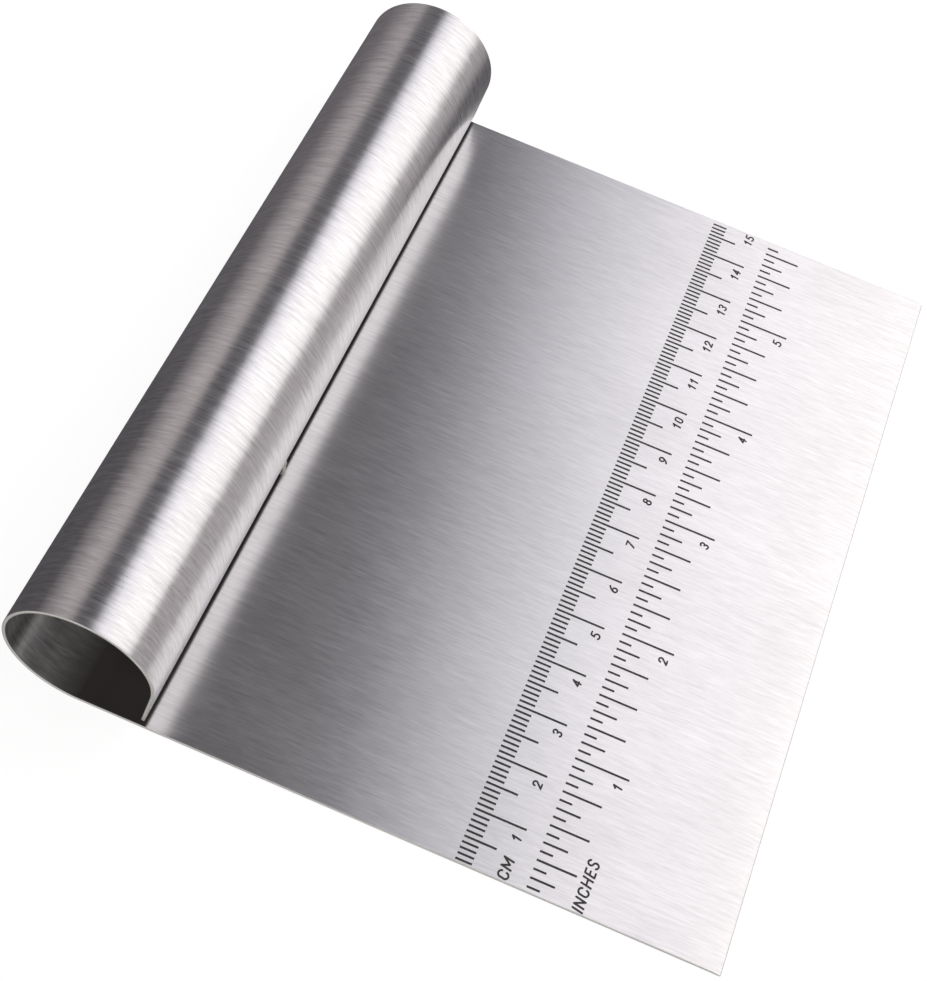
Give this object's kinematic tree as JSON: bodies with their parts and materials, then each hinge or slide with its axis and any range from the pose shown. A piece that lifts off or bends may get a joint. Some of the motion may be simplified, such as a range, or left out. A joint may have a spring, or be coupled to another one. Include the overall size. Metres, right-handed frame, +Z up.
{
  "type": "bench scraper",
  "caption": "Bench scraper of one bent steel sheet: a flat rectangular blade rolled into an open tube for a handle, with a ruler marked on the blade.",
  "frame": {"origin": "under the middle of the bounding box, on the blade's underside, which rests on the bench", "axes": "+Z up from the blade, +X from the handle to the working edge, +Y along the handle and the ruler, from the ruler's start"},
  "size_m": [0.1216, 0.1488, 0.0255],
  "materials": {
    "brushed_sheet": "stainless sheet with a fine brushed grain that runs across the blade and round the handle",
    "weld_metal": "small unpolished tack, duller and slightly darker than the sheet",
    "black_marking": "matt black etched marking"
  },
  "bodies": {
    "root": {"formed_sheet": "brushed_sheet", "seam_tack_weld": "weld_metal", "millimetre_ticks": "black_marking", "five_millimetre_ticks": "black_marking", "centimetre_ticks": "black_marking", "centimetre_numerals": "black_marking", "centimetre_label": "black_marking", "sixteenth_inch_ticks": "black_marking", "eighth_inch_ticks": "black_marking", "quarter_inch_ticks": "black_marking", "inch_ticks": "black_marking", "inch_numerals": "black_marking", "inch_label": "black_marking"}
  },
  "joints": []
}
